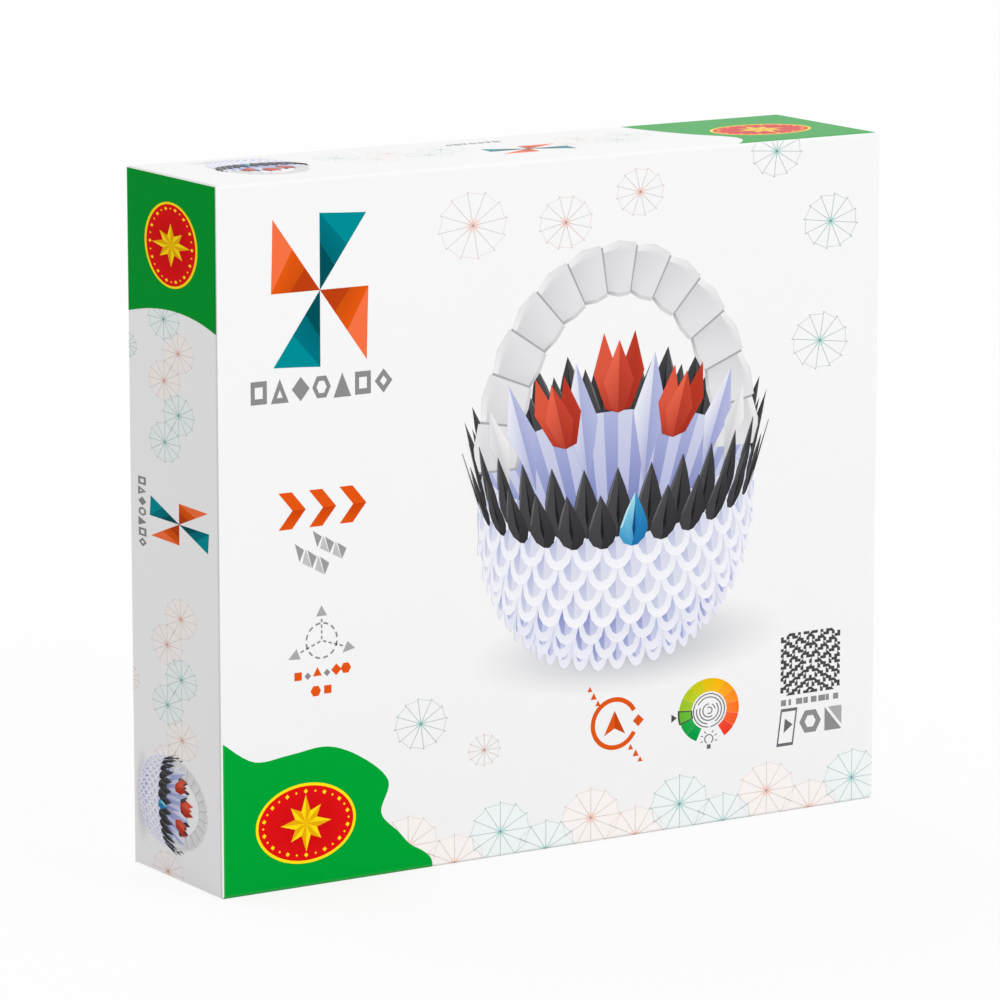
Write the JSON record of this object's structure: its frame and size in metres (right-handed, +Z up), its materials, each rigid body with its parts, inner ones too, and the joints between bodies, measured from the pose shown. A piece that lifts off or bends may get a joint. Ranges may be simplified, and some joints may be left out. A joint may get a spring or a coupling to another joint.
{
  "type": "craft kit carton",
  "caption": "Flat upright retail carton of a paper-folding kit: folded board sleeve with tucked end panels, sealed and full, with printed colour fields.",
  "frame": {"origin": "middle of the base, on the surface that the carton stands on", "axes": "+X along the width, to the right as the front is seen; the front panel faces -Y; +Z up along the height"},
  "size_m": [0.2, 0.046, 0.18],
  "materials": {
    "board": "matt laminated white folding board with printed colour fields"
  },
  "bodies": {
    "root": {"carton": "board"}
  },
  "joints": []
}
